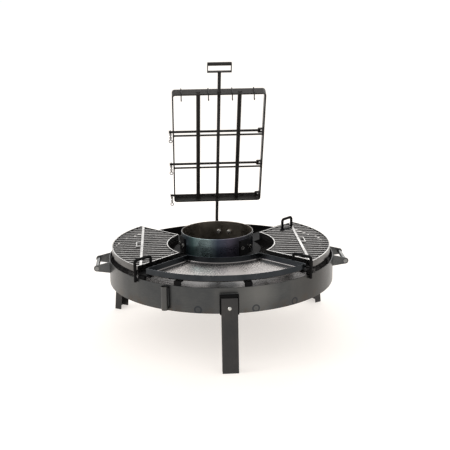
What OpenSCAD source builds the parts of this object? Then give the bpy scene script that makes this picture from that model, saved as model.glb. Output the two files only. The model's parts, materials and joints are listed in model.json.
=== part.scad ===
// Round fire pit: a steel bowl on three bolted legs carries two grates, a griddle
// tray and a fire ring, with a swivelling grill rack on a mast. The rear quarter
// of the bowl is left open, for feeding the fire.
// Millimetres. Z is up, the ground is z = 0, and the bowl's axis is the Z axis.
// The front leg points to -Y. Angles are counted from +X, anticlockwise.

/* [Bowl] */
// Outside diameter of the bowl wall
bowl_d = 800; // [790:1:810]
// Height of the floor plate's underside above the ground
bowl_z = 187; // [180:1:200]
// Height of the rolled wall
wall_h = 87; // [80:1:90]
// Thickness of the wall and of the floor plate
sheet_t = 3; // [2:0.5:4]

/* [Legs] */
// Radius of the leg's outer face where it meets the ground
foot_r = 447; // [442:1:455]
// Inward lean of the legs from vertical, in degrees
splay = 5.2; // [4:0.1:6]
// Width of the leg channel
leg_w = 53; // [45:1:60]
// Depth of the leg channel
leg_d = 26; // [20:1:30]
// Thickness of the leg channel
leg_t = 3; // [2:0.5:4]
// Length of the leg along its own axis
leg_len = 248; // [240:1:250]

/* [Carry handles] */
// Distance of the grip rod from the bowl's axis
grip_r = 441; // [436:1:450]
// Height of the grip rod
grip_z = 246; // [240:1:250]
// Distance between the outer faces of a handle's two plates
plate_gap = 125; // [110:1:140]
// Diameter of the grip rod
grip_d = 14; // [10:1:16]

/* [Cooking sectors] */
// Height of the top edge of the grates and trays
deck_z = 312; // [310:1:316]
// Height of the band of a grate, and of a tray's flange
band_h = 23; // [20:1:25]
// Outer radius of the grates and trays
deck_r = 389; // [385:1:391]
// Inner radius of the grates and trays
well_r = 190.5; // [188:0.5:195]
// Distance of a grate's side from the diagonal between two sectors
grate_side = 24; // [20:1:28]
// Distance of a tray's side from that diagonal
tray_side = 16; // [14:1:20]
// Diameter of the grate bars
bar_d = 5; // [5:0.5:7]
// Pitch of the grate bars
bar_pitch = 24; // [20:0.5:28]

/* [Fire ring] */
// Outside diameter of the fire ring
ring_d = 256; // [250:1:260]
// Height of the fire ring's top edge
ring_top = 357; // [350:1:365]
// X of the fire ring's centre, a little to the left of the bowl's axis
ring_x = -13; // [-15:1:0]

/* [Mast and rack] */
// Angle of the mast's socket
mast_angle = 88.7; // [85:0.1:95]
// Diameter of the mast
rod_d = 12; // [10:1:12]
// Diameter of the rack's two uprights
upright_d = 15; // [12:1:16]
// Height at which the mast bends towards the fire
bend_z = 300; // [295:1:310]
// Lean of the mast and rack from vertical, in degrees
lean = 26.6; // [20:0.1:30]
// Distance along the mast from the bend to the rack's lower edge
rack_low = 96; // [90:1:105]
// Length of the rack along the mast
rack_h = 501; // [480:1:510]
// Overall width of the rack
rack_w = 340; // [330:1:350]
// Width of the rack's flat bar
strip_w = 34; // [30:1:36]
// Distance along the mast from the bend to the foot of the T-handle
tee_low = 678; // [670:1:690]

/* [Hidden] */
$fn = 96;
bowl_r = bowl_d/2;
rim_z = bowl_z + wall_h;
floor_z = bowl_z + sheet_t;
LEGS = [-90, 30, 150];
gap = 0.3;

bracket_t = 4;
bracket_r = 420;
bracket_low = 190;
bracket_top = 254;
leg_bolt_s = 214;

grip_eye_r = 11;
plate_t = 5;

socket_r = 11;
socket_bore = 6.3;
socket_low = 192;
socket_h = 80;
socket_dist = bowl_r + socket_r;
accessory_angle = 240;
screw_z = 252;
screw_d = 6;

seat_z = deck_z - band_h;
seat_t = 5;
seat_top = seat_z - gap;
arm_w = 70;
arm_end = 392;
band_t = 4;
tray_t = 2.5;
strap_x = 282;
strap_w = 9;
strap_t = 3;
loop_d = 5;
handle_d = 10;
handle_in = 333;
handle_out = bowl_r + handle_d/2 + 0.5;
handle_top = deck_z + 23;
handle_foot = rim_z - 12;
TAB_ANGLES = [for (side = [-90, 0, 90]) for (a = [245.7, 279.3]) a + side];

ring_t = 3;
lug_w = 50;
lug_h = 54;
lug_t = 4;
lug_reach = 154;
ring_low = seat_z;
support_in = 118;
support_out = 156;
LUG_ANGLES = [75, 195, 315];
ring_bolt_x = 19;
ring_bolt_z = 318;
m8 = 8;

mast_x = socket_dist*cos(mast_angle);
mast_y = socket_dist*sin(mast_angle);
bend_r = 40;
strip_t = 5;
corner_r = 12;
rack_top = rack_low + rack_h;
upright_x = 75;
MID_BARS = [260, 411];
cross_d = 7;
cross_y = -(rod_d + cross_d)/2;
clamp_d = 9;
clamp_y = (upright_d + clamp_d)/2 + 0.5;
eye_r = 5.5;
eye_h = 10;
CLAMPS = [rack_low + strip_t + 0.5 + eye_h/2, 262, 413];
hinge_x = rack_w/2 - 16;
pin_r = 2;
ear_t = 3;
pin_half = eye_h/2 + gap + ear_t;
chain_x = -(rack_w/2 + 8);
hook_d = 4;
HOOKS = [-137, -39, 47, 126];
tee_w = 87;
tee_h = 33;
tee_tube = 13;

// ---- shared shapes ----

// A round rod from p to q
module rod(p, q, d) {
    v = q - p;
    translate(p)
        rotate([0, acos(v.z/norm(v)), atan2(v.y, v.x)])
            cylinder(d = d, h = norm(v));
}

// A round rod through a list of points, with ball corners a little proud of it
module bent_rod(points, d, proud = 0) {
    for (i = [1:len(points) - 1]) rod(points[i - 1], points[i], d);
    for (i = [1:len(points) - 2]) translate(points[i]) sphere(d = d + proud, $fn = 48);
}

// Outline of a sector centred on +X, its sides parallel to the diagonals
module sector(r_in, r_out, side) {
    apex = side*sqrt(2);
    intersection() {
        difference() {
            circle(r_out);
            circle(r_in);
        }
        polygon([[apex, 0], [apex + bowl_r, -bowl_r], [apex + bowl_r, bowl_r]]);
    }
}

// The space inside a grate's band, for the pieces welded into it
module inside_band(z, h) {
    translate([0, 0, z])
        linear_extrude(h) sector(well_r + band_t, deck_r - band_t, grate_side + band_t);
}

// The hexagon of a nut or bolt head, given its width across flats
module hexagon(flats, h) {
    cylinder(d = flats/cos(30), h = h, $fn = 6);
}

// Outline of a rectangle with round corners, centred in x, standing on y = 0
module round_rect(w, h, r) {
    translate([-w/2 + r, 0]) square([w - 2*r, h]);
    translate([-w/2, r]) square([w, h - 2*r]);
    for (x = [-w/2 + r, w/2 - r]) for (y = [r, h - r]) translate([x, y]) circle(r);
}

// ---- bowl, legs and carry handles ----

module bowl_wall() {
    color([0.27, 0.30, 0.32])
        translate([0, 0, bowl_z])
            difference() {
                cylinder(r = bowl_r, h = wall_h, $fn = 180);
                translate([0, 0, -1]) cylinder(r = bowl_r - sheet_t, h = wall_h + 2, $fn = 180);
            }
}

module bowl_floor() {
    color([0.33, 0.31, 0.29])
        translate([0, 0, bowl_z]) cylinder(r = bowl_r - sheet_t, h = sheet_t, $fn = 180);
}

// Places a leg's pieces: x = 0 is the outer face, z runs up along the leg
module on_leg(angle) {
    rotate([0, 0, angle]) translate([foot_r, 0, 0]) rotate([0, -splay, 0]) children();
}

module leg(angle) {
    color([0.20, 0.20, 0.19])
        difference() {
            on_leg(angle)
                difference() {
                    translate([-leg_d, -leg_w/2, -10]) cube([leg_d, leg_w, leg_len + 10]);
                    translate([-leg_d - 1, -leg_w/2 + leg_t, -11])
                        cube([leg_d + 1 - leg_t, leg_w - 2*leg_t, leg_len + 12]);
                    translate([-leg_t - 1, 0, leg_bolt_s])
                        rotate([0, 90, 0]) cylinder(d = m8, h = leg_t + 2);
                }
            translate([0, 0, -50]) cylinder(r = 2*foot_r, h = 50);
            cylinder(r = bowl_r, h = rim_z);
        }
}
module leg_front() { leg(LEGS[0]); }
module leg_rear_right() { leg(LEGS[1]); }
module leg_rear_left() { leg(LEGS[2]); }

// Two cheeks, a stop plate over the leg's end and a tongue inside the channel
module leg_bracket(angle) {
    cheek_y = leg_w/2 + gap;
    tongue_t = 5;
    difference() {
        union() {
            rotate([0, 0, angle])
                for (y = [-cheek_y - bracket_t, cheek_y])
                    translate([bowl_r - 8, y, bracket_low])
                        cube([bracket_r - bowl_r + 8, bracket_t, bracket_top - bracket_low]);
            rotate([0, 0, angle])
                translate([bowl_r - 8, -cheek_y, bracket_top - bracket_t])
                    cube([bracket_r - bowl_r + 8, 2*cheek_y, bracket_t]);
            on_leg(angle)
                translate([-leg_t - tongue_t, -leg_w/2 + leg_t + 1, bracket_low + 6])
                    cube([tongue_t, leg_w - 2*leg_t - 2, bracket_top - bracket_low - 8]);
        }
        cylinder(r = bowl_r, h = rim_z, $fn = 180);
        on_leg(angle)
            translate([-leg_d, 0, leg_bolt_s]) rotate([0, 90, 0]) cylinder(d = m8, h = leg_d + 1);
    }
}
module leg_brackets() {
    color([0.15, 0.15, 0.15]) for (a = LEGS) leg_bracket(a);
}

// Dome-headed bolts, square to the face of each leg
module leg_bolts() {
    color([0.75, 0.74, 0.72])
        for (a = LEGS) on_leg(a) translate([0, 0, leg_bolt_s]) rotate([0, 90, 0]) {
            translate([0, 0, -18]) cylinder(d = m8, h = 18);
            intersection() {
                cylinder(r = 6.5, h = 5);
                translate([0, 0, -4]) sphere(r = 7.6, $fn = 64);
            }
        }
}

module leg_nuts() {
    color([0.6, 0.6, 0.6])
        for (a = LEGS) on_leg(a)
            translate([-leg_t - 5 - 6.5, 0, leg_bolt_s]) rotate([0, 90, 0])
                difference() {
                    hexagon(13, 6.5);
                    translate([0, 0, -1]) cylinder(d = m8, h = 9);
                }
}

// A pair of plates that taper from the wall to a round eye
module carry_plates(side) {
    reach = bowl_r - 8;
    color([0.28, 0.29, 0.29])
        difference() {
            for (y = [-plate_gap/2, plate_gap/2 - plate_t])
                translate([0, y + plate_t, 0]) rotate([90, 0, 0]) linear_extrude(plate_t)
                    difference() {
                        union() {
                            polygon([[side*reach, rim_z - 5], [side*grip_r, grip_z + grip_eye_r],
                                [side*grip_r, grip_z - grip_eye_r], [side*reach, rim_z - 46]]);
                            translate([side*grip_r, grip_z]) circle(grip_eye_r);
                        }
                        translate([side*grip_r, grip_z]) circle(d = grip_d);
                    }
            cylinder(r = bowl_r, h = rim_z + 10, $fn = 180);
        }
}
module carry_plates_left() { carry_plates(-1); }
module carry_plates_right() { carry_plates(1); }

module carry_grip(side) {
    color([0.45, 0.46, 0.46])
        translate([side*grip_r, plate_gap/2 + 1, grip_z])
            rotate([90, 0, 0]) cylinder(d = grip_d, h = plate_gap + 2);
}
module carry_grip_left() { carry_grip(-1); }
module carry_grip_right() { carry_grip(1); }

// ---- sockets on the wall ----

// A vertical tube with a weld saddle that meets the wall
module socket_tube(angle) {
    saddle_w = 14;
    difference() {
        rotate([0, 0, angle]) union() {
            translate([socket_dist, 0, socket_low]) cylinder(r = socket_r, h = socket_h);
            translate([bowl_r - 2, -saddle_w/2, socket_low + 8])
                cube([socket_r + 2, saddle_w, socket_h - 16]);
        }
        cylinder(r = bowl_r, h = rim_z + 10, $fn = 180);
    }
}

module accessory_socket() {
    color([0.24, 0.26, 0.28])
        difference() {
            socket_tube(accessory_angle);
            rotate([0, 0, accessory_angle])
                translate([socket_dist, 0, socket_low - 1]) cylinder(r = socket_bore, h = socket_h + 2);
        }
}

// Closed at the bottom, because it carries the mast
module mast_socket() {
    plug_h = 4;
    color([0.24, 0.26, 0.28])
        difference() {
            socket_tube(mast_angle);
            rotate([0, 0, mast_angle]) {
                translate([socket_dist, 0, socket_low + plug_h]) cylinder(r = socket_bore, h = socket_h);
                translate([socket_dist, 0, screw_z])
                    rotate([0, 90, 0]) cylinder(r = screw_d/2 + 0.1, h = 2*socket_r);
            }
        }
}

// Its tip stops short of the mast, and its head gives the object's rear limit
module mast_lock_screw() {
    tip = socket_dist + rod_d/2 + 0.4;
    head = 7;
    color([0.70, 0.70, 0.68])
        rotate([0, 0, mast_angle]) translate([0, 0, screw_z]) rotate([0, 90, 0]) {
            translate([0, 0, tip]) cylinder(d = screw_d, h = foot_r - head - tip);
            translate([0, 0, foot_r - head]) cylinder(d = 16, h = head);
        }
}

// ---- support frame in the bowl ----

module support_ring() {
    color([0.08, 0.08, 0.08])
        translate([ring_x, 0, seat_top - seat_t]) difference() {
            cylinder(r = support_out, h = seat_t);
            translate([0, 0, -1]) cylinder(r = support_in, h = seat_t + 2);
        }
}

// Flat arms under the gaps between the sectors, welded to the support ring
module support_arms() {
    color([0.08, 0.08, 0.08])
        difference() {
            for (a = [45:90:315]) rotate([0, 0, a])
                translate([100, -arm_w/2, seat_top - seat_t]) cube([arm_end - 100, arm_w, seat_t]);
            translate([ring_x, 0, 0]) cylinder(r = support_out, h = deck_z);
        }
}

// Plates welded inside the wall, whose top edges carry the arms
module support_brackets() {
    bracket_w = 30;
    plate = 6;
    inner = bowl_r - sheet_t;
    color([0.08, 0.08, 0.08])
        intersection() {
            for (a = [45:90:315]) rotate([0, 0, a])
                translate([inner - plate - 2, -bracket_w/2, rim_z - 44])
                    cube([plate + 4, bracket_w, seat_top - seat_t - rim_z + 44]);
            cylinder(r = inner, h = deck_z, $fn = 180);
        }
}

// Angle pieces welded inside the rim, whose tops carry the grates and trays
module rim_tabs() {
    tab_w = 25;
    tab_t = 4;
    inner = bowl_r - sheet_t;
    color([0.06, 0.06, 0.06])
        intersection() {
            for (a = TAB_ANGLES) rotate([0, 0, a]) {
                translate([inner - 26, -tab_w/2, seat_top - tab_t]) cube([30, tab_w, tab_t]);
                translate([inner - tab_t, -tab_w/2, rim_z - 34])
                    cube([tab_t + 4, tab_w, seat_top - tab_t - rim_z + 34]);
            }
            cylinder(r = inner, h = deck_z, $fn = 180);
        }
}

// ---- trays and grates ----

// A pan with an upturned flange all round
module tray(angle) {
    color([0.45, 0.41, 0.38])
        rotate([0, 0, angle]) translate([0, 0, seat_z])
            difference() {
                linear_extrude(band_h) sector(well_r, deck_r, tray_side);
                translate([0, 0, tray_t]) linear_extrude(band_h)
                    sector(well_r + tray_t, deck_r - tray_t, tray_side + tray_t);
            }
}
module tray_front() { tray(-90); }

// A lifting handle along a diagonal: its inner leg is welded to a sector's side,
// and its outer leg goes down outside the rim, which keeps the sector in place
module sector_handle(diagonal, side) {
    y = side + (side > 0 ? -1 : 1)*handle_d/2;
    tie_z = 296;
    color([0.07, 0.07, 0.07])
        rotate([0, 0, diagonal]) {
            bent_rod([[handle_in, y, deck_z - 18], [handle_in, y, handle_top],
                [handle_out, y, handle_top], [handle_out, y, handle_foot]], handle_d);
            difference() {
                translate([handle_in + 40, y - 3, tie_z]) cube([handle_out - handle_in - 40, 6, 5]);
                translate([0, 0, tie_z - 1]) cylinder(r = deck_r, h = 7);
            }
        }
}
module tray_front_handle() { sector_handle(315, -tray_side); }
module grate_left_handle() { sector_handle(225, -grate_side); }

// The right grate's handle stands further in: one leg on a foot plate that lies on the
// bars, the other on the strap
module grate_right_handle() {
    y = -68;
    near = 272;
    far = 327;
    top = deck_z + 38;
    plate_end = far - 9;
    plate_w = 12;
    color([0.07, 0.07, 0.07])
        rotate([0, 0, 45]) {
            bent_rod([[near, y, deck_z - 2], [near, y, top], [far, y, top], [far, y, deck_z]], handle_d);
            translate([near - 8, y - plate_w/2, deck_z - strap_t])
                cube([plate_end - near + 8, plate_w, strap_t]);
        }
}

module grate_frame() {
    color([0.62, 0.61, 0.60])
        translate([0, 0, seat_z]) linear_extrude(band_h)
            difference() {
                sector(well_r, deck_r, grate_side);
                sector(well_r + band_t, deck_r - band_t, grate_side + band_t);
            }
}

// The bars lie just under the strap, parallel to X
module grate_bars() {
    count = floor((deck_r - band_t)/sqrt(2)/bar_pitch);
    bar_z = deck_z - strap_t - bar_d/2;
    color([0.55, 0.55, 0.55])
        intersection() {
            for (i = [-count:count])
                translate([0, i*bar_pitch, bar_z]) rotate([0, 90, 0])
                    cylinder(d = bar_d, h = deck_r, $fn = 24);
            inside_band(seat_z, band_h);
        }
}

// A curved flat under the bars, near the outer edge
module grate_arc() {
    arc_h = 4;
    color([0.60, 0.60, 0.58])
        intersection() {
            translate([0, 0, deck_z - strap_t - bar_d - arc_h]) difference() {
                cylinder(r = 360, h = arc_h);
                translate([0, 0, -1]) cylinder(r = 351, h = arc_h + 2);
            }
            inside_band(seat_z, band_h);
        }
}

// A flat strap across the bars, from one side of the frame to the other
module grate_strap() {
    color([0.66, 0.65, 0.64])
        intersection() {
            translate([strap_x - strap_w/2, -bowl_r, deck_z - strap_t]) cube([strap_w, bowl_d, strap_t]);
            inside_band(deck_z - strap_t, strap_t);
        }
}

// A small lifting loop on the strap's outer side
module grate_loop() {
    near = strap_x + strap_w/2;
    far = near + 15;
    half = 28;
    z = deck_z - strap_t + loop_d/2;
    color([0.72, 0.71, 0.70])
        bent_rod([[near, -half, z], [far, -half, z], [far, half, z], [near, half, z]], loop_d);
}

module grate_left_frame() { rotate([0, 0, 180]) grate_frame(); }
module grate_left_bars() { rotate([0, 0, 180]) grate_bars(); }
module grate_left_arc() { rotate([0, 0, 180]) grate_arc(); }
module grate_left_strap() { rotate([0, 0, 180]) grate_strap(); }
module grate_left_loop() { rotate([0, 0, 180]) grate_loop(); }
module grate_right_frame() { grate_frame(); }
module grate_right_bars() { grate_bars(); }
module grate_right_arc() { grate_arc(); }
module grate_right_strap() { grate_strap(); }
module grate_right_loop() { grate_loop(); }

// ---- fire ring ----

// Places pieces on the fire ring: +X points outward at the given angle
module on_ring(angle) {
    translate([ring_x, 0, 0]) rotate([0, 0, angle]) children();
}

// The holes for the lugs' bolts, through the ring and the lugs
module ring_bolt_holes() {
    for (a = LUG_ANGLES) on_ring(a) for (y = [-ring_bolt_x, ring_bolt_x])
        translate([ring_d/2 - 20, y, ring_bolt_z]) rotate([0, 90, 0]) cylinder(d = m8, h = 40);
}

module fire_ring() {
    color([0.16, 0.20, 0.24])
        difference() {
            translate([ring_x, 0, ring_low]) cylinder(d = ring_d, h = ring_top - ring_low, $fn = 144);
            translate([ring_x, 0, ring_low - 1])
                cylinder(d = ring_d - 2*ring_t, h = ring_top - ring_low + 2, $fn = 144);
            ring_bolt_holes();
        }
}

// Angle lugs: an upright plate against the ring and a foot on the support ring
module fire_ring_lugs() {
    color([0.10, 0.10, 0.11])
        difference() {
            for (a = LUG_ANGLES) on_ring(a) {
                translate([ring_d/2 - 4, -lug_w/2, seat_z]) cube([4 + lug_t, lug_w, lug_h]);
                translate([ring_d/2, -lug_w/2, seat_z]) cube([lug_reach - ring_d/2, lug_w, lug_t]);
            }
            translate([ring_x, 0, 0]) cylinder(d = ring_d, h = ring_top, $fn = 144);
            ring_bolt_holes();
        }
}

module fire_ring_bolts() {
    color([0.70, 0.69, 0.66])
        for (a = LUG_ANGLES) on_ring(a) for (y = [-ring_bolt_x, ring_bolt_x])
            translate([ring_d/2 + lug_t, y, ring_bolt_z]) rotate([0, 90, 0]) {
                translate([0, 0, -lug_t - ring_t - 12]) cylinder(d = m8, h = lug_t + ring_t + 12);
                hexagon(13, 5.3);
            }
}

// Each nut sits on a washer whose far edge touches the ring's inner side
module fire_ring_nuts() {
    washer_r = 8;
    inner_r = ring_d/2 - ring_t;
    face = sqrt(pow(inner_r, 2) - pow(ring_bolt_x + washer_r, 2)) - 0.1;
    color([0.80, 0.79, 0.76])
        difference() {
            for (a = LUG_ANGLES) on_ring(a) for (y = [-ring_bolt_x, ring_bolt_x])
                translate([face - 6.5 - 1.6, y, ring_bolt_z]) rotate([0, 90, 0]) {
                    hexagon(13, 6.5);
                    translate([0, 0, 6.5]) cylinder(r = washer_r, h = 1.6);
                }
            ring_bolt_holes();
        }
}

// ---- mast and rack ----

// Places the rack's pieces: z runs along the leaning mast from its bend,
// -Y is the side that faces the fire, +Y is the upper side
module on_mast() {
    translate([mast_x, mast_y, bend_z]) rotate([lean, 0, 0]) children();
}

// The bend is made in two equal turns
module mast() {
    turn = bend_r*tan(lean/2);
    foot = [mast_x, mast_y, socket_low + 4 + gap];
    low = [mast_x, mast_y, bend_z - turn];
    high = [mast_x, mast_y - turn*sin(lean), bend_z + turn*cos(lean)];
    top = [mast_x, mast_y - tee_low*sin(lean), bend_z + tee_low*cos(lean)];
    color([0.10, 0.09, 0.08]) bent_rod([foot, low, high, top], rod_d, 0.6);
}

// The holes for the mast and the uprights through the rack's flat bar
module rack_holes() {
    translate([0, 0, rack_low - 1]) cylinder(d = rod_d, h = rack_h + 2);
    for (x = [-upright_x, upright_x])
        translate([x, 0, rack_low - 1]) cylinder(d = upright_d, h = rack_h + 2);
}

module rack_frame() {
    color([0.17, 0.14, 0.11]) on_mast()
        difference() {
            translate([0, strip_w/2, rack_low]) rotate([90, 0, 0]) linear_extrude(strip_w)
                difference() {
                    round_rect(rack_w, rack_h, corner_r);
                    translate([0, strip_t])
                        round_rect(rack_w - 2*strip_t, rack_h - 2*strip_t, corner_r - strip_t);
                }
            rack_holes();
            for (s = CLAMPS)
                translate([-rack_w/2 - 1, clamp_y - clamp_d/2 - 0.6, s - clamp_d/2 - 0.6])
                    cube([strip_t + corner_r, strip_w, clamp_d + 1.2]);
            translate([hinge_x, clamp_y, CLAMPS[0] - pin_half]) cylinder(r = pin_r, h = pin_half);
        }
}

module rack_uprights() {
    proud = 2;
    color([0.11, 0.10, 0.09]) on_mast()
        for (x = [-upright_x, upright_x])
            translate([x, 0, rack_low]) cylinder(d = upright_d, h = rack_h + proud);
}

module rack_crossbars() {
    length = rack_w - 2*strip_t;
    color([0.12, 0.11, 0.10]) on_mast()
        for (s = MID_BARS)
            difference() {
                translate([-length/2, cross_y, s]) rotate([0, 90, 0]) cylinder(d = cross_d, h = length);
                for (x = [-upright_x, upright_x])
                    translate([x, 0, s - cross_d]) cylinder(d = upright_d, h = 2*cross_d);
            }
}

// Ears above and below the eye of each clamp bar, welded inside the rack's right
// side. The bottom clamp's lower ear is the rack's own bottom bar.
module rack_hinge_lugs() {
    inner = rack_w/2 - strip_t;
    color([0.13, 0.11, 0.10]) on_mast()
        for (s = CLAMPS) for (z = [s - pin_half, s + pin_half - ear_t]) if (z > rack_low + strip_t)
            difference() {
                union() {
                    translate([hinge_x, clamp_y, z]) cylinder(r = eye_r, h = ear_t);
                    translate([hinge_x, clamp_y - eye_r, z]) cube([inner - hinge_x, 2*eye_r, ear_t]);
                }
                translate([hinge_x, clamp_y, z - 1]) cylinder(r = pin_r, h = ear_t + 2);
            }
}

// A pin has a head at its top, and at its bottom too where it goes through an ear
module rack_hinge_pins() {
    head = 1.5;
    color([0.30, 0.29, 0.28]) on_mast()
        for (s = CLAMPS) translate([hinge_x, clamp_y, s]) {
            translate([0, 0, -pin_half]) cylinder(r = pin_r, h = 2*pin_half);
            translate([0, 0, pin_half]) cylinder(r = pin_r + 1.4, h = head);
            if (s > CLAMPS[0]) translate([0, 0, -pin_half - head]) cylinder(r = pin_r + 1.4, h = head);
        }
}

// A bar with an eye at the hinge and a collar that keeps its chain on
module clamp_bar(s) {
    end = chain_x - 6;
    color([0.12, 0.11, 0.10]) on_mast() translate([0, clamp_y, s])
        difference() {
            union() {
                translate([end, 0, 0]) rotate([0, 90, 0]) cylinder(d = clamp_d, h = hinge_x - 3 - end);
                translate([end, 0, 0]) rotate([0, 90, 0]) cylinder(d = clamp_d + 5, h = 2);
                translate([hinge_x, 0, -eye_h/2]) cylinder(r = eye_r, h = eye_h);
            }
            translate([hinge_x, 0, -eye_h]) cylinder(r = pin_r + 0.08, h = 2*eye_h);
        }
}
module clamp_bar_bottom() { clamp_bar(CLAMPS[0]); }
module clamp_bar_middle() { clamp_bar(CLAMPS[1]); }
module clamp_bar_top() { clamp_bar(CLAMPS[2]); }

// A ring of round wire in the YZ plane
module wire_ring(r, d) {
    rotate([0, 90, 0]) rotate_extrude($fn = 40) translate([r, 0]) circle(d = d, $fn = 20);
}

// A long link of round wire in the YZ plane, its straight sides along Z
module chain_link(straight, r, d) {
    for (k = [0, 180]) rotate([k, 0, 0]) {
        translate([0, 0, straight/2]) rotate([90, 0, 90])
            rotate_extrude(angle = 180, $fn = 40) translate([r, 0]) circle(d = d, $fn = 20);
        translate([0, r, -straight/2]) cylinder(d = d, h = straight, $fn = 20);
    }
}

// A ring round the clamp bar, four links and an end ring, hanging straight down
module chain(s) {
    slack = 0.15;
    top_d = 3;
    top_r = 7.5;
    link_d = 2.4;
    link_r = 3;
    straight = 2.4;
    end_d = 2.8;
    end_r = 5.6;
    links = 4;
    hang = top_r - top_d/2 - clamp_d/2 - gap;
    first = hang + top_r - (top_d + link_d)/2 - slack + straight/2 + link_r;
    pitch = straight + 2*link_r - link_d - slack;
    last = first + (links - 1)*pitch + straight/2 + link_r;
    end_z = last - (link_d + end_d)/2 - slack + end_r;
    color([0.16, 0.15, 0.14])
        on_mast() translate([chain_x, clamp_y, s]) rotate([-lean, 0, 0]) {
            translate([0, 0, -hang]) wire_ring(top_r, top_d);
            for (i = [0:links - 1])
                translate([0, 0, -first - i*pitch]) rotate([0, 0, i % 2 == 0 ? 90 : 0])
                    chain_link(straight, link_r, link_d);
            translate([0, 0, -end_z]) rotate([0, 0, 90]) wire_ring(end_r, end_d);
        }
}
module chain_bottom() { chain(CLAMPS[0]); }
module chain_middle() { chain(CLAMPS[1]); }
module chain_top() { chain(CLAMPS[2]); }

// A wire hook that sits over the rack's top bar, with its tip on the fire side
module hook(x) {
    y = strip_w/2 + hook_d/2 + gap;
    z = rack_top + hook_d/2 + gap;
    color([0.14, 0.13, 0.12]) on_mast() translate([x, 0, 0])
        bent_rod([[0, y, z - 12], [0, y, z], [0, -y, z], [0, -y, z - 16],
            [0, -y - 4, z - 22], [0, -y - 11, z - 21], [0, -y - 13, z - 15]], hook_d);
}
module hook_1() { hook(HOOKS[0]); }
module hook_2() { hook(HOOKS[1]); }
module hook_3() { hook(HOOKS[2]); }
module hook_4() { hook(HOOKS[3]); }

// The strap of the T-handle: a foot plate and two cheeks
module tee_strap() {
    strap_d = 10;
    plate = 3;
    color([0.15, 0.14, 0.12]) on_mast() translate([0, 0, tee_low]) {
        translate([-tee_w/2, -strap_d/2, 0]) cube([tee_w, strap_d, plate]);
        for (x = [-tee_w/2, tee_w/2 - plate])
            translate([x, -strap_d/2, plate]) cube([plate, strap_d, tee_h - plate + 4]);
    }
}

module tee_grip() {
    plate = 3;
    color([0.20, 0.18, 0.16]) on_mast()
        translate([-tee_w/2 + plate, 0, tee_low + tee_h]) rotate([0, 90, 0])
            cylinder(d = tee_tube, h = tee_w - 2*plate);
}

bowl_wall();
bowl_floor();
leg_front();
leg_rear_right();
leg_rear_left();
leg_brackets();
leg_bolts();
leg_nuts();
carry_plates_left();
carry_plates_right();
carry_grip_left();
carry_grip_right();
accessory_socket();
mast_socket();
mast_lock_screw();
support_ring();
support_arms();
support_brackets();
rim_tabs();
tray_front();
tray_front_handle();
grate_left_frame();
grate_left_bars();
grate_left_arc();
grate_left_strap();
grate_left_loop();
grate_left_handle();
grate_right_frame();
grate_right_bars();
grate_right_arc();
grate_right_strap();
grate_right_loop();
grate_right_handle();
fire_ring();
fire_ring_lugs();
fire_ring_bolts();
fire_ring_nuts();
mast();
rack_frame();
rack_uprights();
rack_crossbars();
rack_hinge_lugs();
rack_hinge_pins();
tee_strap();
tee_grip();
clamp_bar_bottom();
clamp_bar_middle();
clamp_bar_top();
chain_bottom();
chain_middle();
chain_top();
hook_1();
hook_2();
hook_3();
hook_4();
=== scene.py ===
"""Looks for the fire pit: studio, camera, steels, and the bent and welded details."""
import json
import math

import bmesh
import bpy
from mathutils import Matrix, Vector


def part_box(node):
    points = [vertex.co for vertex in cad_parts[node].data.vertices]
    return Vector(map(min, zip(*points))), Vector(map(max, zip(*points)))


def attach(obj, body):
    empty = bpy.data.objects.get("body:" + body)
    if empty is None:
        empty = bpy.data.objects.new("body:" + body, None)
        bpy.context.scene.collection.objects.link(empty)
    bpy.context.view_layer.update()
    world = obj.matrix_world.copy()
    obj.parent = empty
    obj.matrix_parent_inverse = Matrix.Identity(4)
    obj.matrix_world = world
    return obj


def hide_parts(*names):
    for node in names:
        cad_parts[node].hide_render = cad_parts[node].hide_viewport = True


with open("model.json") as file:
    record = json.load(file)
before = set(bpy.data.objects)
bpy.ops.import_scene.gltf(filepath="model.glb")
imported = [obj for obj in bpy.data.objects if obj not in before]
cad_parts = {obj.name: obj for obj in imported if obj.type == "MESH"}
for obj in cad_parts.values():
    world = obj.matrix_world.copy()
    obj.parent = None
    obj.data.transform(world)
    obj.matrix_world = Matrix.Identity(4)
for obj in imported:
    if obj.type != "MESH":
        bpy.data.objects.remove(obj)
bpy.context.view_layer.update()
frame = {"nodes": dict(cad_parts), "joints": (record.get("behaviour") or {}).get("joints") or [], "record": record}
NODES = frame["nodes"]
JOINTS = {j["name"]: j for j in frame["joints"]}

# Driving dimensions in metres, as the frame has them
BOWL_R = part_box("bowl_wall")[1].x
RIM_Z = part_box("bowl_wall")[1].z
WALL_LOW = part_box("bowl_wall")[0].z
DECK_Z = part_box("tray_front")[1].z
SEAT_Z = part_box("tray_front")[0].z
RING_X = (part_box("fire_ring")[0].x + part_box("fire_ring")[1].x) / 2
RING_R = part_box("fire_ring")[1].y
RING_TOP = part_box("fire_ring")[1].z
RING_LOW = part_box("fire_ring")[0].z
MAST = Vector(JOINTS["mast_swivel"]["pos_m"])
LEAN = math.atan2(JOINTS["top_clamp_swing"]["axis"][1], -JOINTS["top_clamp_swing"]["axis"][2])
BEND_Z = 0.300
ROD_D = 0.012
RACK_LOW = 0.096
RACK_H = 0.501
RACK_W = 0.340
STRIP_W = 0.034
STRIP_T = 0.005
UPRIGHT_X = 0.075
UPRIGHT_D = 0.015
CROSS_D = 0.007
MID_BARS = (0.260, 0.411)
TEE_LOW = 0.678
WELL_R = 0.1905
DECK_R = 0.389
TRAY_SIDE = 0.016
GRATE_SIDE = 0.024
HANDLE_D = 0.010
HANDLE_IN = 0.333
HANDLE_OUT = BOWL_R + HANDLE_D / 2 + 0.0005
HANDLE_TOP = DECK_Z + 0.023
HANDLE_FOOT = RIM_Z - 0.012
HANDLE_BEND = 0.009
HOOK_D = 0.004
HOOK_BEND = 0.0022
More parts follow.
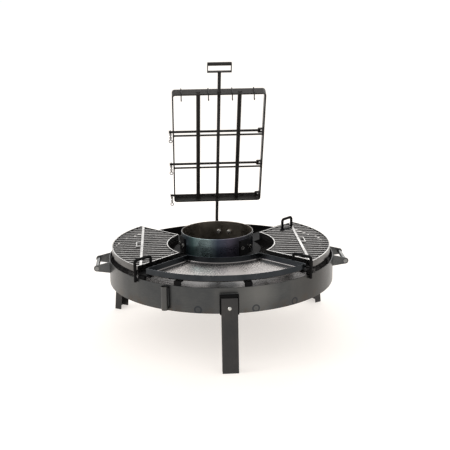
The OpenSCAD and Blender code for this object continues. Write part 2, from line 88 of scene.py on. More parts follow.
MAST_BEND = 0.045
LEG_ANGLES = (-90, 30, 150)
SOCKET_ANGLES = {"accessory_socket": 240, "mast_socket": 88.7}
MARK_ANGLES = (-120.5, -104.4, -77.4, -56.6, 9.3, 65.7, 99.3, 155.7)
MARK_H = 0.012
MARK_R = 0.014


def polar(angle, radius, z):
    turn = math.radians(angle)
    return Vector((radius * math.cos(turn), radius * math.sin(turn), z))


# ---------------------------------------------------------------- camera and light

def make_camera():
    """The camera stands before the fire pit, a little to its left, and looks down on it."""
    distance, height = 3.1472, 1.2160
    angles = (-93.3864, 14.9685, -0.2811, -0.7252)
    azimuth, pitch, yaw, roll = (math.radians(angle) for angle in angles)
    away = Vector((math.cos(azimuth), math.sin(azimuth), 0))
    level = Matrix.Rotation(yaw, 3, "Z") @ -away
    side = Vector((level.y, -level.x, 0))
    up = Vector((0, 0, 1))
    forward = level * math.cos(pitch) - up * math.sin(pitch)
    top = level * math.sin(pitch) + up * math.cos(pitch)
    right = side * math.cos(roll) + top * math.sin(roll)
    upright = -side * math.sin(roll) + top * math.cos(roll)
    data = bpy.data.cameras.new("camera")
    data.sensor_width = 36
    data.lens = 72.95
    data.clip_end = 60
    camera = bpy.data.objects.new("camera", data)
    bpy.context.collection.objects.link(camera)
    turn = Matrix((right, upright, -forward)).transposed().to_4x4()
    camera.matrix_world = Matrix.Translation(away * distance + up * height) @ turn
    bpy.context.scene.camera = camera


def area_light(name, place, aim, size, power, tint=(1, 1, 1)):
    data = bpy.data.lights.new(name, "AREA")
    data.shape = "RECTANGLE"
    data.size, data.size_y = size
    data.energy = power
    data.color = tint
    light = bpy.data.objects.new(name, data)
    bpy.context.collection.objects.link(light)
    light.location = place
    light.rotation_euler = (Vector(aim) - Vector(place)).to_track_quat("-Z", "Y").to_euler()


def make_studio():
    """A white world, two softboxes, and a pale floor that glows enough to keep shadows faint."""
    world = bpy.data.worlds.new("studio")
    bpy.context.scene.world = world
    world.use_nodes = True
    background = world.node_tree.nodes["Background"]
    background.inputs["Color"].default_value = (1, 1, 1, 1)
    background.inputs["Strength"].default_value = 1.02
    area_light("softbox_left", (-2.6, -0.6, 2.1), (0, 0, 0.3), (1.2, 2.0), 24)
    area_light("softbox_back", (0.6, 2.6, 2.3), (0, 0, 0.3), (2.2, 1.4), 30, (1.0, 0.98, 0.96))
    bpy.context.scene.view_settings.view_transform = "Standard"
    mesh = bpy.data.meshes.new("floor")
    half = 14
    corners = [(-half, -half, 0), (half, -half, 0), (half, half, 0), (-half, half, 0)]
    mesh.from_pydata(corners, [], [(0, 1, 2, 3)])
    floor = bpy.data.objects.new("floor", mesh)
    bpy.context.collection.objects.link(floor)
    paper = Shader("floor_paper")
    grain = paper.noise(3, 2)
    paper.set("Base Color", paper.ramp(grain, [(0.3, (0.48, 0.455, 0.43)), (0.7, (0.50, 0.475, 0.452))]))
    paper.set("Roughness", 0.9)
    paper.set("Emission Color", (1.0, 0.955, 0.910))
    paper.set("Emission Strength", 0.60)
    mesh.materials.append(paper.material)


# ---------------------------------------------------------------- shader building

class Shader:
    """A material whose colour, roughness and bump come from textures at real scale."""

    def __init__(self, name):
        self.material = bpy.data.materials.new(name)
        self.material.use_nodes = True
        self.tree = self.material.node_tree
        self.bsdf = self.tree.nodes["Principled BSDF"]
        self.place = self.add("ShaderNodeTexCoord").outputs["Object"]

    def add(self, kind, **settings):
        node = self.tree.nodes.new(kind)
        for key, value in settings.items():
            setattr(node, key, value)
        return node

    def feed(self, socket, value):
        if isinstance(value, bpy.types.NodeSocket):
            self.tree.links.new(value, socket)
        elif isinstance(value, tuple) and len(value) == 3 and socket.type == "RGBA":
            socket.default_value = (*value, 1)
        else:
            socket.default_value = value

    def set(self, name, value):
        self.feed(self.bsdf.inputs[name], value)

    def colour(self):
        """The colour made so far, to be changed further."""
        return self.bsdf.inputs["Base Color"].links[0].from_socket

    def noise(self, scale, detail=4, stretch=(1, 1, 1), roughness=0.55, offset=(0, 0, 0)):
        mapping = self.add("ShaderNodeMapping")
        self.feed(mapping.inputs["Vector"], self.place)
        mapping.inputs["Scale"].default_value = stretch
        mapping.inputs["Location"].default_value = offset
        texture = self.add("ShaderNodeTexNoise")
        self.feed(texture.inputs["Vector"], mapping.outputs["Vector"])
        texture.inputs["Scale"].default_value = scale
        texture.inputs["Detail"].default_value = detail
        texture.inputs["Roughness"].default_value = roughness
        return texture.outputs["Fac"]

    def ramp(self, value, stops):
        ramp = self.add("ShaderNodeValToRGB")
        self.feed(ramp.inputs["Fac"], value)
        elements = ramp.color_ramp.elements
        while len(elements) < len(stops):
            elements.new(0.5)
        for element, (position, colour) in zip(elements, stops):
            element.position = position
            element.color = (*colour, 1) if isinstance(colour, tuple) else (colour,) * 3 + (1,)
        return ramp.outputs["Color"]

    def mix(self, factor, a, b):
        mix = self.add("ShaderNodeMix", data_type="RGBA")
        self.feed(mix.inputs["Factor"], factor)
        self.feed(mix.inputs["A"], a)
        self.feed(mix.inputs["B"], b)
        return mix.outputs["Result"]

    def math(self, operation, a, b=0.0):
        node = self.add("ShaderNodeMath", operation=operation)
        self.feed(node.inputs[0], a)
        self.feed(node.inputs[1], b)
        return node.outputs["Value"]

    def remap(self, value, low, high, to_low, to_high):
        node = self.add("ShaderNodeMapRange")
        for key, number in (("From Min", low), ("From Max", high), ("To Min", to_low), ("To Max", to_high)):
            node.inputs[key].default_value = number
        self.feed(node.inputs["Value"], value)
        return node.outputs["Result"]

    def axis(self, name):
        split = self.add("ShaderNodeSeparateXYZ")
        self.feed(split.inputs["Vector"], self.place)
        return split.outputs[name]

    def facing_up(self):
        """How far the surface turns upward, from its own normal."""
        split = self.add("ShaderNodeSeparateXYZ")
        self.feed(split.inputs["Vector"], self.add("ShaderNodeTexCoord").outputs["Normal"])
        return split.outputs["Z"]

    def distance(self, point):
        node = self.add("ShaderNodeVectorMath", operation="DISTANCE")
        self.feed(node.inputs[0], self.place)
        node.inputs[1].default_value = point
        return node.outputs["Value"]

    def distance_level(self, x, y):
        """Distance from the vertical line through x, y."""
        flat = self.add("ShaderNodeVectorMath", operation="MULTIPLY")
        self.feed(flat.inputs[0], self.place)
        flat.inputs[1].default_value = (1, 1, 0)
        node = self.add("ShaderNodeVectorMath", operation="DISTANCE")
        self.feed(node.inputs[0], flat.outputs["Vector"])
        node.inputs[1].default_value = (x, y, 0)
        return node.outputs["Value"]

    def bump(self, *layers):
        """Layers of (height value, depth in metres), the first one lowest."""
        normal = None
        for height, depth in layers:
            node = self.add("ShaderNodeBump")
            node.inputs["Distance"].default_value = depth
            self.feed(node.inputs["Height"], height)
            if normal is not None:
                self.feed(node.inputs["Normal"], normal)
            normal = node.outputs["Normal"]
        self.feed(self.bsdf.inputs["Normal"], normal)


def steel(name, dark, light, rough=(0.3, 0.45), metallic=0.9, patch=9.0, grain=(1, 1, 1), grain_scale=260,
          dust=0.0, dust_colour=(0.3, 0.27, 0.24), relief=1.0):
    """Sheet or bar steel: patches of scale, a fine drawn grain, specks, and dust on top."""
    s = Shader(name)
    patches = s.noise(patch, 5, roughness=0.6)
    fine = s.noise(grain_scale, 3, grain)
    specks = s.noise(700, 2, offset=(3, 1, 7))
    colour = s.ramp(patches, [(0.34, dark), (0.68, light)])
    colour = s.mix(s.remap(fine, 0.3, 0.7, 0.0, 0.35), colour, tuple(v * 0.62 for v in dark))
    colour = s.mix(s.remap(specks, 0.66, 0.74, 0.0, 0.4), colour, tuple(min(1, v * 2.2) for v in light))
    if dust:
        level = s.remap(s.facing_up(), 0.55, 1.0, 0.0, 1.0)
        amount = s.remap(patches, 0.35, 0.7, 0.3, dust)
        colour = s.mix(s.math("MULTIPLY", level, amount), colour, dust_colour)
    s.set("Base Color", colour)
    s.set("Metallic", metallic)
    wear_and_highlight = s.math("ADD", s.math("MULTIPLY", patches, 0.7), s.math("MULTIPLY", fine, 0.3))
    s.set("Roughness", s.remap(wear_and_highlight, 0.35, 0.65, *rough))
    s.bump((patches, 0.0006 * relief), (fine, 0.00012 * relief), (specks, 0.00005 * relief))
    return s


def rolled_steel():
    """The wall: grey mill scale, with ring marks where studs are welded on; a painted highlight right of the front
    leg, a patch of painted shade at its front right, and the inner face painted near black as painted shade for
    the unlit inside.
    """
    s = steel("rolled_steel", (0.052, 0.055, 0.058), (0.086, 0.088, 0.086), (0.26, 0.40), 0.92, 7,
              (1, 1, 14), 60)
    colour = s.colour()
    bands = s.noise(9, 3, (1, 1, 0.06), offset=(2, 5, 0))
    colour = s.mix(s.remap(bands, 0.42, 0.62, 0.0, 0.5), colour, (0.105, 0.104, 0.099))
    # a lighter patch on the wall right of the front leg: a painted highlight
    wall_highlight = s.distance(polar(-76, BOWL_R, 0.25))
    colour = s.mix(s.remap(wall_highlight, 0.015, 0.085, 0.55, 0.0), colour, (0.160, 0.160, 0.154))
    shaded = s.distance(polar(-41, BOWL_R, 0.235))
    colour = s.mix(s.remap(shaded, 0.04, 0.15, 0.85, 0.0), colour, (0.050, 0.049, 0.047))
    rust = s.math("MULTIPLY", s.remap(s.noise(26, 5, offset=(9, 2, 4)), 0.45, 0.70, 0, 0.7),
                  s.remap(s.axis("Z"), WALL_LOW + 0.035, WALL_LOW, 0, 1))
    colour = s.mix(rust, colour, (0.080, 0.056, 0.036))
    ring_mark = [(0.0, 0.30), (0.45, 0.05), (0.70, 0.75), (0.86, 0.80), (1.0, 0.0)]
    for angle in MARK_ANGLES:
        away = s.distance(polar(angle, BOWL_R, WALL_LOW + MARK_H))
        mark = s.ramp(s.math("MULTIPLY", away, 1 / MARK_R), ring_mark)
        colour = s.mix(mark, colour, (0.020, 0.024, 0.030))
    # the inner face is painted near black: painted shade for the unlit inside of the bowl
    inside = s.remap(s.distance_level(0, 0), BOWL_R - 0.0014, BOWL_R - 0.0008, 1.0, 0.0)
    s.set("Base Color", s.mix(inside, colour, (0.016, 0.015, 0.015)))
    return s


def floor_steel():
    """The floor plate, sooted black under the fire ring, with a patch of painted shade in front of it."""
    s = steel("floor_steel", (0.20, 0.185, 0.178), (0.30, 0.285, 0.275), (0.12, 0.24), 0.97, 5)
    colour = s.colour()
    edge = s.remap(s.noise(18, 4), 0.3, 0.7, -0.012, 0.012)
    burnt = s.remap(s.math("ADD", s.distance_level(RING_X, 0.06), edge), 0.10, 0.16, 1.0, 0.0)
    # a near-black patch in front of the fire ring: painted shade, not soot
    front = s.remap(s.math("ADD", s.distance_level(-0.004, -0.128), edge), 0.040, 0.062, 1.0, 0.0)
    # the soot under the ring and the painted shade in front of it share one near-black colour
    s.set("Base Color", s.mix(s.math("MAXIMUM", burnt, front), colour, (0.006, 0.005, 0.005)))
    return s


def tray_steel():
    """Oiled sheet: brown and glossy on the cooking side with two painted highlights, blue-black on the flanges."""
    s = steel("tray_steel", (0.250, 0.231, 0.220), (0.335, 0.313, 0.300), (0.19, 0.32), 0.97, 5,
              (5, 1, 1), 60, relief=0.06)
    colour = s.colour()
    smear = s.noise(7, 5, (1.6, 0.35, 1), 0.55, (4, 4, 0))
    oiled = s.ramp(smear, [(0.36, (0.248, 0.230, 0.220)), (0.64, (0.352, 0.328, 0.314))])
    colour = s.mix(0.8, colour, oiled)
    # two light spots on the tray floor near the ring's foot: painted highlights
    for x, y in ((-0.068, -0.150), (0.035, -0.158)):
        tray_highlight = s.remap(s.distance_level(x, y), 0.008, 0.030, 0.75, 0.0)
        colour = s.mix(tray_highlight, colour, (0.72, 0.70, 0.68))
    upright = s.remap(s.math("ABSOLUTE", s.facing_up()), 0.25, 0.6, 1.0, 0.0)
    upright = s.math("MAXIMUM", upright, s.remap(s.axis("Z"), SEAT_Z + 0.003, SEAT_Z + 0.006, 0.0, 1.0))
    flange = s.ramp(s.noise(16, 4, (1, 1, 0.4)), [(0.35, (0.024, 0.028, 0.032)),
                                                  (0.7, (0.044, 0.048, 0.053))])
    s.set("Base Color", s.mix(upright, colour, flange))
    return s


def ring_steel():
    """Blued steel: teal, blue and violet tints run round the outside, set from left to right, with a bright band
    left of centre as painted highlight and darker sides as painted shade; brown inside.
    """
    s = steel("ring_steel", (0.06, 0.075, 0.085), (0.11, 0.135, 0.15), (0.24, 0.34), 0.95, 12, (1, 1, 8), 80,
              relief=0.15)
    base = s.colour()
    across = s.remap(s.axis("X"), RING_X - RING_R, RING_X + RING_R, 0.0, 1.0)
    across = s.math("ADD", across, s.remap(s.noise(16, 2, (1, 1, 0.15)), 0.3, 0.7, -0.05, 0.05))
    # the hues are the blued steel's own tints; the bright teal stop left of centre is a painted highlight and the
    # dark stops at both sides are painted shade
    tint = s.ramp(across, [(0.06, (0.040, 0.060, 0.075)), (0.18, (0.100, 0.170, 0.170)),
                           (0.32, (0.360, 0.470, 0.480)), (0.46, (0.100, 0.125, 0.180)),
                           (0.62, (0.150, 0.135, 0.190)), (0.80, (0.070, 0.066, 0.085)),
                           (0.95, (0.040, 0.042, 0.050))])
    colour = s.mix(0.92, base, tint)
    middle = s.distance_level(RING_X, 0)
    inside = s.remap(middle, RING_R - 0.0022, RING_R - 0.0012, 1.0, 0.0)
    brown = s.ramp(s.noise(14, 5, (1, 1, 0.5)), [(0.32, (0.150, 0.130, 0.105)),
                                                 (0.55, (0.300, 0.265, 0.220)),
                                                 (0.75, (0.430, 0.390, 0.340))])
    s.set("Base Color", s.mix(inside, colour, brown))
    return s


def grate_steel():
    """The grates' bright frames and straps, browned a little, with upright faces painted dark as painted shade."""
    s = steel("grate_steel", (0.46, 0.45, 0.435), (0.70, 0.69, 0.67), (0.24, 0.38), 1.0, 18, (1, 8, 8), 120)
    colour = s.colour()
    browned = s.remap(s.noise(8, 4, offset=(1, 7, 2)), 0.52, 0.72, 0.0, 0.35)
    colour = s.mix(browned, colour, (0.30, 0.265, 0.23))
    # upright faces darkened by their normal: painted shade for the frames' sides
    upright = s.remap(s.math("ABSOLUTE", s.facing_up()), 0.2, 0.7, 0.88, 0.0)
    s.set("Base Color", s.mix(upright, colour, (0.055, 0.054, 0.054)))
    return s


def bar_steel():
    """The grate's round bars: darker than the frames as painted shade for their shaded lower halves, and lighter
    along their tops, partly wear and partly painted highlight.
    """
    # the dark base colours are painted shade: the same steel as the frames, darkened
    s = steel("bar_steel", (0.235, 0.229, 0.223), (0.380, 0.370, 0.361), (0.26, 0.40), 1.0, 14,
              (1, 8, 8), 120)
    colour = s.colour()
    # lighter along the bars' tops: partly wear broken up by noise, partly a painted highlight
    wear_and_highlight = s.math("MULTIPLY", s.remap(s.facing_up(), 0.80, 0.97, 0.0, 1.0),
                  s.remap(s.noise(40, 3), 0.3, 0.6, 0.35, 1.0))
    s.set("Base Color", s.mix(wear_and_highlight, colour, (0.42, 0.41, 0.40)))
    return s


def black_paint():
    """Matt black: the brackets, the support frame and the lifting handles."""
    s = steel("black_steel", (0.004, 0.004, 0.0045), (0.009, 0.0085, 0.0085), (0.50, 0.66), 0.0, 14)
    s.set("Specular IOR Level", 0.05)
    return s


def rack_paint():
    """The rack and the mast: brown-black, with a little ash on top."""
    s = steel("rack_steel", (0.007, 0.006, 0.005), (0.017, 0.014, 0.012), (0.42, 0.58), 0.1, 16,
              (6, 6, 1), 120, 0.25, (0.036, 0.031, 0.027))
    s.set("Specular IOR Level", 0.30)
    return s


def chain_steel():
    """The chains and hooks: nearly black, a little shinier than the rack."""
    s = steel("chain_steel", (0.008, 0.007, 0.007), (0.022, 0.020, 0.018), (0.32, 0.46), 0.35, 60)
    s.set("Specular IOR Level", 0.25)
    return s


MATERIALS = {
    "rolled_steel": rolled_steel,
    "floor_steel": floor_steel,
    "leg_steel": lambda: steel("leg_steel", (0.034, 0.034, 0.035), (0.054, 0.051, 0.049),
                               (0.36, 0.50), 0.75, 10, (6, 6, 1), 90),
    "black_steel": black_paint,
    "zinc": lambda: steel("zinc", (0.52, 0.51, 0.48), (0.74, 0.73, 0.70), (0.18, 0.32), 1.0, 60),
    "carry_steel": lambda: steel("carry_steel", (0.075, 0.078, 0.080), (0.125, 0.128, 0.126),
                                 (0.30, 0.44), 0.9, 22),
    "grip_steel": lambda: steel("grip_steel", (0.16, 0.165, 0.165), (0.30, 0.30, 0.29),
                                (0.26, 0.40), 0.95, 30, (8, 1, 8), 120),
    "tray_steel": tray_steel,
    "grate_steel": grate_steel,
    "bar_steel": bar_steel,
    "ring_steel": ring_steel,
    "rack_steel": rack_paint,
    "chain_steel": chain_steel,
}


# ---------------------------------------------------------------- mesh helpers

def mesh_from(name, bm):
    """Turns a bmesh into a mesh and frees it."""
    mesh = bpy.data.meshes.new(name)
    bm.to_mesh(mesh)
    bm.free()
    return mesh


def smoothing_group():
    """Geometry nodes that smooth a surface except at edges sharper than 40 degrees."""
    tree = bpy.data.node_groups.new("smooth_by_angle", "GeometryNodeTree")
    tree.interface.new_socket("Geometry", in_out="INPUT", socket_type="NodeSocketGeometry")
    tree.interface.new_socket("Geometry", in_out="OUTPUT", socket_type="NodeSocketGeometry")
    source = tree.nodes.new("NodeGroupInput")
    result = tree.nodes.new("NodeGroupOutput")
    angle = tree.nodes.new("GeometryNodeInputMeshEdgeAngle")
    compare = tree.nodes.new("FunctionNodeCompare")
    compare.operation = "LESS_EQUAL"
    compare.inputs[1].default_value = math.radians(40)
    faces = tree.nodes.new("GeometryNodeSetShadeSmooth")
    edges = tree.nodes.new("GeometryNodeSetShadeSmooth")
    edges.domain = "EDGE"
    tree.links.new(angle.outputs["Unsigned Angle"], compare.inputs[0])
    tree.links.new(source.outputs[0], faces.inputs["Geometry"])
    tree.links.new(faces.outputs["Geometry"], edges.inputs["Geometry"])
    tree.links.new(compare.outputs["Result"], edges.inputs["Shade Smooth"])
    tree.links.new(edges.outputs["Geometry"], result.inputs[0])
    return tree


def shade(obj):
    """Smooths the shading and weights its normals by face area, with modifiers."""
    smooth = obj.modifiers.new("smooth", "NODES")
    smooth.node_group = SMOOTHING
    normals = obj.modifiers.new("normals", "WEIGHTED_NORMAL")
    normals.keep_sharp = True


def soften(obj, width):
    """Rounds an object's edges with modifiers, and leaves its mesh as it is."""
    weld = obj.modifiers.new("weld", "WELD")
    weld.merge_threshold = 0.000002
    bevel = obj.modifiers.new("bevel", "BEVEL")
    bevel.width = width
    bevel.segments = 2
    bevel.limit_method = "ANGLE"
    bevel.angle_limit = math.radians(35)
    shade(obj)


def piece(name, mesh, body, slot, replaces=()):
    """A new piece that rides on a body, in place of the named CAD nodes."""
    obj = bpy.data.objects.new(name, mesh)
    bpy.context.collection.objects.link(obj)
    mesh.materials.append(STEELS[slot])
    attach(obj, body)
    if replaces:
        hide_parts(*replaces)
    return obj


def rounded_path(points, radius, steps=8):
    """A polyline whose corners are arcs of the given radius."""
    points = [Vector(p) for p in points]
    path = [points[0]]
    for before, corner, after in zip(points, points[1:], points[2:]):
        a = (before - corner).normalized()
        b = (after - corner).normalized()
        half = a.angle(b) / 2
        reach = min(radius / math.tan(half), 0.49 * (before - corner).length, 0.49 * (after - corner).length)
        arc_r = reach * math.tan(half)
        centre = corner + (a + b).normalized() * (arc_r / math.sin(half))
        start = corner + a * reach - centre
        stop = corner + b * reach - centre
        sweep = start.angle(stop)
        axis = start.cross(stop).normalized()
        for i in range(steps + 1):
            path.append(centre + Matrix.Rotation(sweep * i / steps, 3, axis) @ start)
    path.append(points[-1])
    return path


def tube_mesh(name, path, radius_at, sides=16, closed=False):
    """Sweeps a circle along a path. radius_at gives the radius at each ring's index."""
    bm = bmesh.new()
    count = len(path)
    rings = []
    reference = None
    for i, point in enumerate(path):
        ahead = path[(i + 1) % count] if closed else path[min(i + 1, count - 1)]
        behind = path[(i - 1) % count] if closed else path[max(i - 1, 0)]
        along = (ahead - behind).normalized()
        if reference is None:
            reference = along.orthogonal().normalized()
        reference = (reference - along * reference.dot(along)).normalized()
        across = along.cross(reference)
        ring = []
        for k in range(sides):
            turn = 2 * math.pi * k / sides
            outward = reference * math.cos(turn) + across * math.sin(turn)
            ring.append(bm.verts.new(point + outward * radius_at(i)))
        rings.append(ring)
    pairs = list(zip(rings, rings[1:]))
    if closed:
        pairs.append((rings[-1], rings[0]))
    shift = 0
    if closed:
        gaps = [(rings[0][k].co - rings[-1][0].co).length for k in range(sides)]
        shift = gaps.index(min(gaps))
    for low, high in pairs:
        offset = shift if high is rings[0] and closed else 0
        for k in range(sides):
            following = k + 1
            bm.faces.new((low[k], low[following % sides], high[(following + offset) % sides],
                          high[(k + offset) % sides]))
    if not closed:
        bm.faces.new(list(reversed(rings[0])))
        bm.faces.new(rings[-1])
    bmesh.ops.recalc_face_normals(bm, faces=bm.faces)
    for face in bm.faces:
        face.smooth = len(face.verts) == 4
    return mesh_from(name, bm)


def join_meshes(name, meshes):
    """Joins meshes into one and removes them."""
    bm = bmesh.new()
    for mesh in meshes:
        bm.from_mesh(mesh)
        bpy.data.meshes.remove(mesh)
    return mesh_from(name, bm)


def box_mesh(name, low, high, place):
    """A box given in a local frame, put in place by a matrix."""
    bm = bmesh.new()
    bmesh.ops.create_cube(bm, size=1)
    low, high = Vector(low), Vector(high)
    for vert in bm.verts:
        vert.co = place @ Vector(low[i] + (vert.co[i] + 0.5) * (high[i] - low[i]) for i in range(3))
    return mesh_from(name, bm)


def bead_mesh(name, path, radius, closed=False):
    """A weld bead: ripples 1.6 mm apart along a path, thinner at its open ends."""
    step = 0.0004
    ripple = 0.0016
    dense = []
    ends = list(zip(path, path[1:])) + ([(path[-1], path[0])] if closed else [])
    for a, b in ends:
        count = max(1, round((b - a).length / step))
        dense += [a.lerp(b, i / count) for i in range(count)]
    if not closed:
        dense.append(path[-1])
    last = len(dense) - 1

    def radius_at(i):
        wave = abs(math.sin(math.pi * i * step / ripple))
        taper = 1 if closed else min(1, 0.35 + 0.12 * min(i, last - i))
        return radius * (0.82 + 0.18 * wave) * taper

    return tube_mesh(name, dense, radius_at, 8, closed)


def ring_bead(centre, normal, radius, thickness):
    """A weld bead all round a rod."""
    count = 28
    normal = normal.normalized()
    a = normal.orthogonal().normalized()
    b = normal.cross(a)
    turns = [2 * math.pi * i / count for i in range(count)]
    circle = [centre + (a * math.cos(t) + b * math.sin(t)) * radius for t in turns]
    return bead_mesh("bead", circle, thickness, True)


def on_rack(x, y, s):
    """A point of the leaning rack: x across, y towards its upper side, s along the mast."""
    return Vector((MAST.x + x, MAST.y + y * math.cos(LEAN) - s * math.sin(LEAN),
                   BEND_Z + y * math.sin(LEAN) + s * math.cos(LEAN)))


# ---------------------------------------------------------------- pieces

def sector_outline(side, inset):
    """Closed outline of a sector centred on +X, its edges moved inwards by inset."""
    arc_steps = 48
    r_out, r_in, offset = DECK_R - inset, WELL_R + inset, side + inset
    reach_out = math.pi / 4 - math.asin(offset / r_out)
    reach_in = math.pi / 4 - math.asin(offset / r_in)
    outer = [reach_out * (2 * i / arc_steps - 1) for i in range(arc_steps + 1)]
    inner = [reach_in * (1 - 2 * i / arc_steps) for i in range(arc_steps + 1)]
    return ([(r_out * math.cos(t), r_out * math.sin(t)) for t in outer]
            + [(r_in * math.cos(t), r_in * math.sin(t)) for t in inner])


def tray_mesh(name, angle):
    """A folded pan: flanges that turn up through a round bend, with softened top edges."""
    t, bend, edge, steps = 0.0025, 0.006, 0.0008, 5
    inner_bend = bend - t
    height = DECK_Z - SEAT_Z
    turn = Matrix.Rotation(math.radians(angle), 3, "Z")
    profile = [(bend, 0.0)]
    for i in range(1, steps + 1):
        a = math.pi / 2 * i / steps
        profile.append((bend * (1 - math.sin(a)), bend * (1 - math.cos(a))))
    profile += [(0, height - edge), (edge, height), (t - edge, height), (t, height - edge)]
    for i in range(steps + 1):
        a = math.pi / 2 * (1 - i / steps)
        profile.append((t + inner_bend * (1 - math.sin(a)), t + inner_bend * (1 - math.cos(a))))
    bm = bmesh.new()
    rings = []
    for inset, z in profile:
        outline = sector_outline(TRAY_SIDE, inset)
        rings.append([bm.verts.new(turn @ Vector((x, y, SEAT_Z + z))) for x, y in outline])
    count = len(rings[0])
    for low, high in zip(rings, rings[1:]):
        for k in range(count):
            bm.faces.new((low[k], low[(k + 1) % count], high[(k + 1) % count], high[k]))
    bm.faces.new(list(reversed(rings[0])))
    bm.faces.new(rings[-1])
    bmesh.ops.recalc_face_normals(bm, faces=bm.faces)
    for face in bm.faces:
        face.smooth = True
    return mesh_from(name, bm)


def make_tray():
    shade(piece("front_pan", tray_mesh("front_pan", -90), "front_tray", "tray_steel", ("tray_front",)))


def make_sector_handles():
    """The two handles whose outer legs hook outside the rim."""
    seam_x, tie_half, tie_low, tie_top = 0.0045, 0.003, 0.296, 0.301
    for name, node, diagonal, side, body in (
            ("front_tray_handle", "tray_front_handle", 315, -TRAY_SIDE, "front_tray"),
            ("left_grate_handle", "grate_left_handle", 225, -GRATE_SIDE, "left_grate")):
        place = Matrix.Rotation(math.radians(diagonal), 4, "Z")
        y = side + HANDLE_D / 2
        corners = [(HANDLE_IN, y, DECK_Z - 0.018), (HANDLE_IN, y, HANDLE_TOP),
                   (HANDLE_OUT, y, HANDLE_TOP), (HANDLE_OUT, y, HANDLE_FOOT)]
        path = [place @ p for p in rounded_path(corners, HANDLE_BEND)]
        rod = tube_mesh("rod", path, lambda i: HANDLE_D / 2, 20)
        tie_in = math.sqrt(DECK_R ** 2 - (abs(y) + tie_half) ** 2)
        tie = box_mesh("tie", (tie_in, y - tie_half, tie_low), (HANDLE_OUT, y + tie_half, tie_top), place)
        welds = []
        for dx in (-seam_x, seam_x):
            seam = [place @ Vector((HANDLE_IN + dx, side, DECK_Z - depth)) for depth in (0.017, 0.002)]
            welds.append(bead_mesh("weld", seam, 0.0014))
        piece(name, join_meshes(name, [rod, tie] + welds), body, "black_steel", (node,))


def make_standing_handle():
    """The right grate's handle: one leg on a foot plate on the bars, one on the strap."""
    place = Matrix.Rotation(math.radians(45), 4, "Z")
    y, near, far, top = -0.068, 0.272, 0.327, DECK_Z + 0.038
    plate_in, plate_out, plate_t, plate_w = near - 0.008, far - 0.009, 0.003, 0.012
    corners = [(near, y, DECK_Z), (near, y, top), (far, y, top), (far, y, DECK_Z)]
    path = [place @ p for p in rounded_path(corners, HANDLE_BEND)]
    rod = tube_mesh("rod", path, lambda i: HANDLE_D / 2, 20)
    plate = box_mesh("plate", (plate_in, y - plate_w / 2, DECK_Z - plate_t),
                     (plate_out, y + plate_w / 2, DECK_Z), place)
    foot = place @ Vector((near, y, DECK_Z))
    weld = ring_bead(foot, Vector((0, 0, 1)), HANDLE_D / 2 + 0.0004, 0.0013)
    piece("right_grate_handle", join_meshes("right_grate_handle", [rod, plate, weld]), "right_grate",
          "black_steel", ("grate_right_handle",))


def make_mast():
    """One rod from the socket to the T-handle, with a round bend."""
    foot = (MAST.x, MAST.y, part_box("mast")[0].z)
    bend = (MAST.x, MAST.y, BEND_Z)
    path = rounded_path([foot, bend, on_rack(0, 0, TEE_LOW)], MAST_BEND, 12)
    mesh = tube_mesh("bent_mast", path, lambda i: ROD_D / 2, 28)
    piece("bent_mast", mesh, "rack", "rack_steel", ("mast",))


def make_hooks():
    """Each hook is one bent wire over the rack's top bar."""
    gap = 0.0003
    y = STRIP_W / 2 + HOOK_D / 2 + gap
    z = RACK_LOW + RACK_H + HOOK_D / 2 + gap
    for k in range(1, 5):
        low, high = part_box(f"hook_{k}")
        x = (low.x + high.x) / 2 - MAST.x
        corners = [(y, z - 0.012), (y, z), (-y, z), (-y, z - 0.016), (-y - 0.004, z - 0.022),
                   (-y - 0.011, z - 0.021), (-y - 0.013, z - 0.015)]
        path = rounded_path([on_rack(x, a, b) for a, b in corners], HOOK_BEND, 6)
        mesh = tube_mesh(f"wire_hook_{k}", path, lambda i: HOOK_D / 2, 14)
        piece(f"wire_hook_{k}", mesh, f"hook_{k}", "chain_steel", (f"hook_{k}",))


def make_rack_welds():
    """Beads round the rods' ends and where the cross rods meet the uprights and the mast."""
    inner_low = RACK_LOW + STRIP_T
    inner_high = RACK_LOW + RACK_H - STRIP_T
    along = on_rack(0, 0, 1) - on_rack(0, 0, 0)
    across = Vector((1, 0, 0))
    beads = []
    for x, d in ((-UPRIGHT_X, UPRIGHT_D), (0, ROD_D), (UPRIGHT_X, UPRIGHT_D)):
        for s in (inner_low, inner_high):
            beads.append(ring_bead(on_rack(x, 0, s), along, d / 2 + 0.0006, 0.0014))
    beads.append(ring_bead(on_rack(0, 0, inner_high + STRIP_T), along, ROD_D / 2 + 0.0006, 0.0014))
    beads.append(ring_bead(on_rack(0, 0, TEE_LOW), along, ROD_D / 2 + 0.0004, 0.0013))
    cross_y = -(ROD_D + CROSS_D) / 2
    seam_y = cross_y + CROSS_D / 2 - 0.0005
    seam_half = 0.0035
    end_x = RACK_W / 2 - STRIP_T
    for s in MID_BARS:
        for x in (-end_x, end_x):
            beads.append(ring_bead(on_rack(x, cross_y, s), across, CROSS_D / 2 + 0.0004, 0.0011))
        for x in (-UPRIGHT_X, 0, UPRIGHT_X):
            for side in (-1, 1):
                seam_s = s + side * CROSS_D / 2
                seam = [on_rack(x + dx, seam_y, seam_s) for dx in (-seam_half, seam_half)]
                beads.append(bead_mesh("bead", seam, 0.0012))
    piece("rack_welds", join_meshes("rack_welds", beads), "rack", "rack_steel")


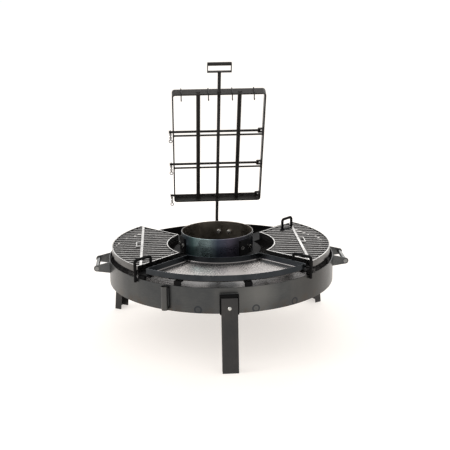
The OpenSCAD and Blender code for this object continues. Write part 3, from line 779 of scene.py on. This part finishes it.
def make_bowl_welds():
    """Fillets where the brackets, the sockets and the handle plates meet the wall."""
    beads = []
    cheek = 0.0265 + 0.0003 + 0.004
    bracket_low, bracket_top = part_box("leg_brackets")[0].z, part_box("leg_brackets")[1].z
    spread = math.degrees(math.asin(cheek / BOWL_R))
    for angle in LEG_ANGLES:
        for side in (-1, 1):
            edge = [polar(angle + side * spread, BOWL_R + 0.0004, z) for z in (bracket_low, bracket_top)]
            beads.append(bead_mesh("bead", edge, 0.0018))
        arc = [polar(angle + spread * (i / 8 - 1), BOWL_R + 0.0004, bracket_top) for i in range(17)]
        beads.append(bead_mesh("bead", arc, 0.0017))
    spread = math.degrees(math.asin(0.0076 / BOWL_R))
    for node, angle in SOCKET_ANGLES.items():
        low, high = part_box(node)
        ends = (low.z + 0.008, high.z - 0.008)
        for side in (-1, 1):
            edge = [polar(angle + side * spread, BOWL_R + 0.0006, z) for z in ends]
            beads.append(bead_mesh("bead", edge, 0.0019))
    for side in (-1, 1):
        for y in (-0.0625, -0.0575, 0.0575, 0.0625):
            x = side * (math.sqrt(BOWL_R ** 2 - y ** 2) + 0.0006)
            edge = [Vector((x, y, RIM_Z - drop)) for drop in (0.044, 0.008)]
            beads.append(bead_mesh("bead", edge, 0.0016))
    piece("bowl_welds", join_meshes("bowl_welds", beads), "base", "rolled_steel")


def make_ring_welds():
    """The fire ring's closing seam, outside it and inside it."""
    middle = Vector((RING_X, 0, 0))
    ends = (RING_LOW + 0.001, RING_TOP - 0.001)
    seams = []
    for offset in (-0.0032, -0.0002):
        line = [middle + polar(118, RING_R + offset, z) for z in ends]
        seams.append(bead_mesh("bead", line, 0.001))
    piece("ring_welds", join_meshes("ring_welds", seams), "ring", "ring_steel")


def dress_cad_nodes():
    """Gives every CAD node its steel, and rounds the edges of the plates and bars."""
    slots = {row["node"]: row["material_slot"] for row in frame["record"]["subparts"]}
    thin = 0.0005
    widths = {"bowl_wall": 0.0007, "fire_ring": 0.0008, "rack_frame": 0.0007, "leg_bolts": 0.0004,
              "leg_nuts": 0.0004, "leg_front": 0.0009, "leg_rear_left": 0.0009, "leg_rear_right": 0.0009,
              "leg_brackets": 0.0009}
    sharp = ("chain_", "hook_", "tray_front", "grate_left_handle", "grate_right_handle",
             "grate_left_bars", "grate_right_bars", "grate_left_loop", "grate_right_loop")
    for name, obj in NODES.items():
        obj.data.materials.clear()
        obj.data.materials.append(STEELS[slots[name]])
        if not name.startswith(sharp) and name != "mast":
            soften(obj, widths.get(name, thin))


make_camera()
make_studio()
STEELS = {slot: build().material for slot, build in MATERIALS.items()}
SMOOTHING = smoothing_group()
dress_cad_nodes()
make_tray()
make_sector_handles()
make_standing_handle()
make_mast()
make_hooks()
make_rack_welds()
make_bowl_welds()
make_ring_welds()
